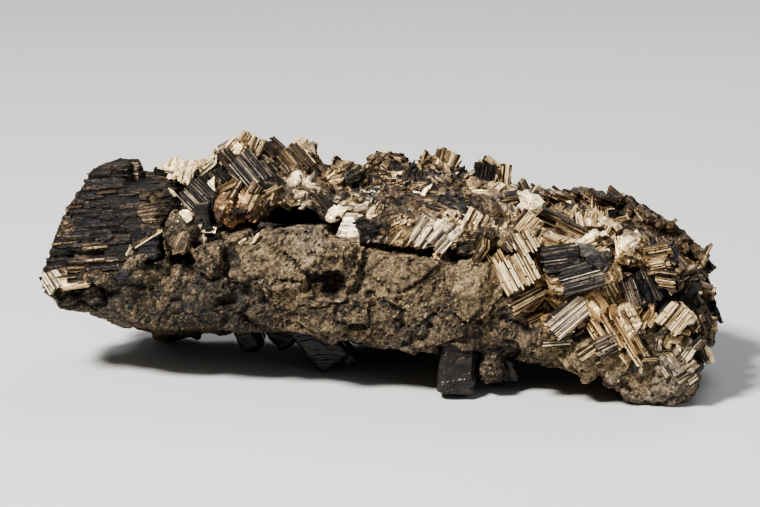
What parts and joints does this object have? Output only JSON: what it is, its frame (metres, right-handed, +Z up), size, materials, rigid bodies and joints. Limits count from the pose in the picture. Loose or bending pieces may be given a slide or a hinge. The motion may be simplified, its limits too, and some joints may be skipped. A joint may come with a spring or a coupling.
{
  "type": "cassiterite mineral specimen",
  "caption": "Long natural slab of granular matrix with black crystals below and a crust of bladed, striated crystals on top; lies on a flat surface.",
  "frame": {"origin": "middle of the footprint, on the resting plane", "axes": "+X along the slab towards its lower end, -Y the broken front that the blades and matrix show on, +Z up"},
  "size_m": [0.1518, 0.056, 0.0538],
  "materials": {
    "matrix": "matte granular",
    "blades": "pearly, striated",
    "ridge": "satin, layered",
    "dark_striated": "satin, striated",
    "pale": "pearly",
    "buff": "matte",
    "cassiterite": "glossy"
  },
  "bodies": {
    "root": {"matrix": "matrix", "bladed_crust": "blades", "bladed_ridge_back": "ridge", "striated_crystal_left": "dark_striated", "pale_fan_crystal": "pale", "buff_crystal": "buff", "pyramid_crystal": "pale", "cassiterite_crystal_1": "cassiterite", "cassiterite_crystal_2": "cassiterite", "cassiterite_crystal_3": "cassiterite", "cassiterite_crystal_4": "cassiterite", "cassiterite_crystal_5": "cassiterite", "cassiterite_crystal_6": "cassiterite"}
  },
  "joints": []
}
